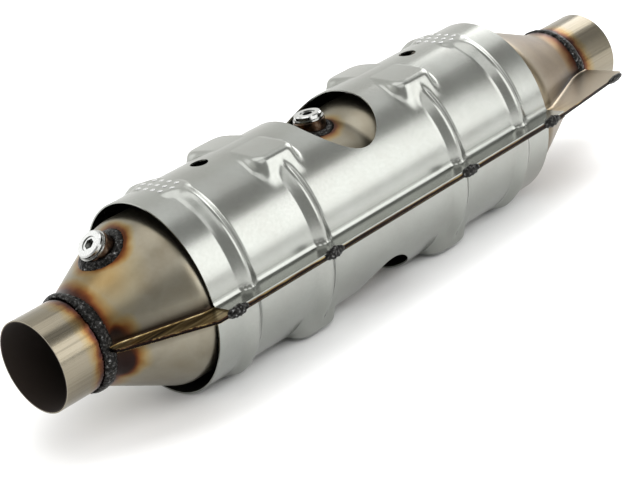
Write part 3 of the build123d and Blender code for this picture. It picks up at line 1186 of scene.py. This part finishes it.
nodeFinish = {
    "inlet_pipe": steelPipe,
    "outlet_pipe": steelPipe,
    "front_sensor_boss": steelBoss,
    "middle_sensor_boss": steelBoss,
    "front_plug_washer": zincWasher,
    "middle_plug_washer": zincWasher,
    "front_sensor_plug": zincPlug,
    "middle_sensor_plug": zincPlug,
    "front_substrate": ceramicBrick,
    "rear_substrate": ceramicBrick,
    "front_support_mat": fibrePad,
    "rear_support_mat": fibrePad,
    "front_brick_inlet_seal": wireSeal,
    "front_brick_outlet_seal": wireSeal,
    "rear_brick_inlet_seal": wireSeal,
    "rear_brick_outlet_seal": wireSeal,
}
for node, material in nodeFinish.items():
    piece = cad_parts[node]
    for slot in piece.material_slots:
        slot.material = material
print("CAD pieces finished")


# Studio: pale floor, soft lamps, pale surroundings

studio = {
    "centre": (0.325, 0, 0),
    "floor": "#f4f4f4",
    "floorSize": 8.0,
    "floorLevel": -0.0827,
    "lamps": {"topLamp": (1.0, -0.45, 2.1), "frontLamp": (-0.3, -1.7, 1.5)},
    "lampWatts": 24,
    "lampSize": 1.5,
    "roomLow": "#8d8d8b",
    "roomHigh": "#828281",
    "roomFront": 1.9,
    "roomBack": 4.4,
    "roomTurn": (-0.3, 0.2),
}
softboxes = (  # name, place, what it points at, width, height, strength
    ("frontSoftbox", (1.13, -1.2, 0.625), (1.13, 0, 0.625), 1.36, 1.11, 2.95),
    ("ceilingLeft", (0.25, 0.1, 1.45), (0.25, 0.1, 0), 1.3, 0.9, 2.1),
    ("ceilingRight", (1.5, 0.15, 1.45), (1.5, 0.15, 0), 1.2, 0.9, 1.12),
    ("leftSoftbox", (-0.1, -1.05, 1.45), (-0.1, -1.05, 0), 1.4, 1.2, 1.57),
    ("rearSoftbox", (1.75, 0.3, 0.74), studio["centre"], 0.75, 0.75, 4.0),
    ("endSoftbox", (2.1, 0.2, 0.3), (0, 0.2, 0.3), 1.4, 0.9, 1.45),
    ("backSoftbox", (-0.6, 1.3, 0.8), (0.325, 0, 0.4), 1.4, 1.4, 1.8),
)


def stagePaint(name, kind, inputs):
    material = bpy.data.materials.new(name)
    material.use_nodes = True
    tree = material.node_tree
    tree.nodes.clear()
    surface = addNode(tree, kind, inputs)
    addNode(tree, "ShaderNodeOutputMaterial", {"Surface": surface})
    return material


def paleFloor():
    deselectAll()
    x, y, _ = studio["centre"]
    bpy.ops.mesh.primitive_plane_add(size=studio["floorSize"], location=(x, y, studio["floorLevel"]))
    floor = bpy.context.active_object
    floor.name = "studioFloor"
    pale = linearColour(studio["floor"])
    paint = stagePaint("studioFloorPaint", "ShaderNodeBsdfDiffuse", {"Color": pale})
    floor.data.materials.append(paint)


def areaLamp(name, place):
    # the lamps light the floor; the metal shows the softboxes instead
    data = bpy.data.lights.new(name, "AREA")
    data.energy = studio["lampWatts"]
    data.shape = "SQUARE"
    data.size = studio["lampSize"]
    lamp = bpy.data.objects.new(name, data)
    scene.collection.objects.link(lamp)
    lamp.location = place
    lamp.rotation_mode = "QUATERNION"
    lamp.rotation_quaternion = (Vector(studio["centre"]) - Vector(place)).to_track_quat("-Z", "Y")
    lamp.visible_glossy = False


def paleWorld():
    # a grey room, paler behind the part
    world = bpy.data.worlds.new("studioWorld")
    scene.world = world
    world.use_nodes = True
    tree = world.node_tree
    tree.nodes.clear()
    way = addNode(tree, "ShaderNodeTexCoord").outputs["Generated"]
    axes = addNode(tree, "ShaderNodeSeparateXYZ", {"Vector": way})
    rise = fillRamp(
        addNode(tree, "ShaderNodeValToRGB", {"Fac": axes.outputs["Z"]}),
        [(0.0, studio["roomLow"]), (1.0, studio["roomHigh"])],
    )
    start, end = studio["roomTurn"]
    depth = addNode(
        tree,
        "ShaderNodeMapRange",
        {
            "Value": axes.outputs["Y"],
            "From Min": start,
            "From Max": end,
            "To Min": studio["roomFront"],
            "To Max": studio["roomBack"],
        },
    )
    room = addNode(tree, "ShaderNodeBackground", {"Color": rise, "Strength": depth})
    addNode(tree, "ShaderNodeOutputWorld", {"Surface": room})


def softboxCard(name, place, target, width, height, strength):
    # a lit card that stays out of the picture
    deselectAll()
    bpy.ops.mesh.primitive_plane_add(size=1)
    card = bpy.context.active_object
    card.name = name
    card.scale = (width, height, 1)
    card.location = place
    card.rotation_mode = "QUATERNION"
    card.rotation_quaternion = (Vector(target) - Vector(place)).to_track_quat("Z", "Y")
    paint = stagePaint(name + "Paint", "ShaderNodeEmission", {"Color": (1, 1, 1, 1), "Strength": strength})
    card.data.materials.append(paint)
    card.visible_camera = False
    card.visible_shadow = False
    card.visible_transmission = False


paleFloor()
paleWorld()
for name, place in studio["lamps"].items():
    areaLamp(name, place)
for box in softboxes:
    softboxCard(*box)
print("studio set")


# Camera at the photograph's angle

view = {
    "place": (-0.70703, -1.15505, 0.53303),
    "azimuth": -41.1466,
    "elevation": 20.1525,
    "roll": -13.9055,
    "focalPixels": 1949.88,
    "pictureWidth": 640,
    "sensor": 36.0,
    "clip": (0.05, 50),
}


def placeCamera():
    a, e, r = (math.radians(view[k]) for k in ("azimuth", "elevation", "roll"))
    back = Vector((math.sin(a) * math.cos(e), -math.cos(a) * math.cos(e), math.sin(e)))
    level = Vector((math.cos(a), math.sin(a), 0))
    upright = back.cross(level)
    right = level * math.cos(r) + upright * math.sin(r)
    up = upright * math.cos(r) - level * math.sin(r)
    data = bpy.data.cameras.new("photoCamera")
    camera = bpy.data.objects.new("photoCamera", data)
    scene.collection.objects.link(camera)
    camera.matrix_world = Matrix(
        (
            (right.x, up.x, back.x, view["place"][0]),
            (right.y, up.y, back.y, view["place"][1]),
            (right.z, up.z, back.z, view["place"][2]),
            (0, 0, 0, 1),
        )
    )
    data.sensor_width = view["sensor"]
    data.lens = view["focalPixels"] / view["pictureWidth"] * view["sensor"]
    data.clip_start, data.clip_end = view["clip"]
    scene.camera = camera


placeCamera()
deselectAll()
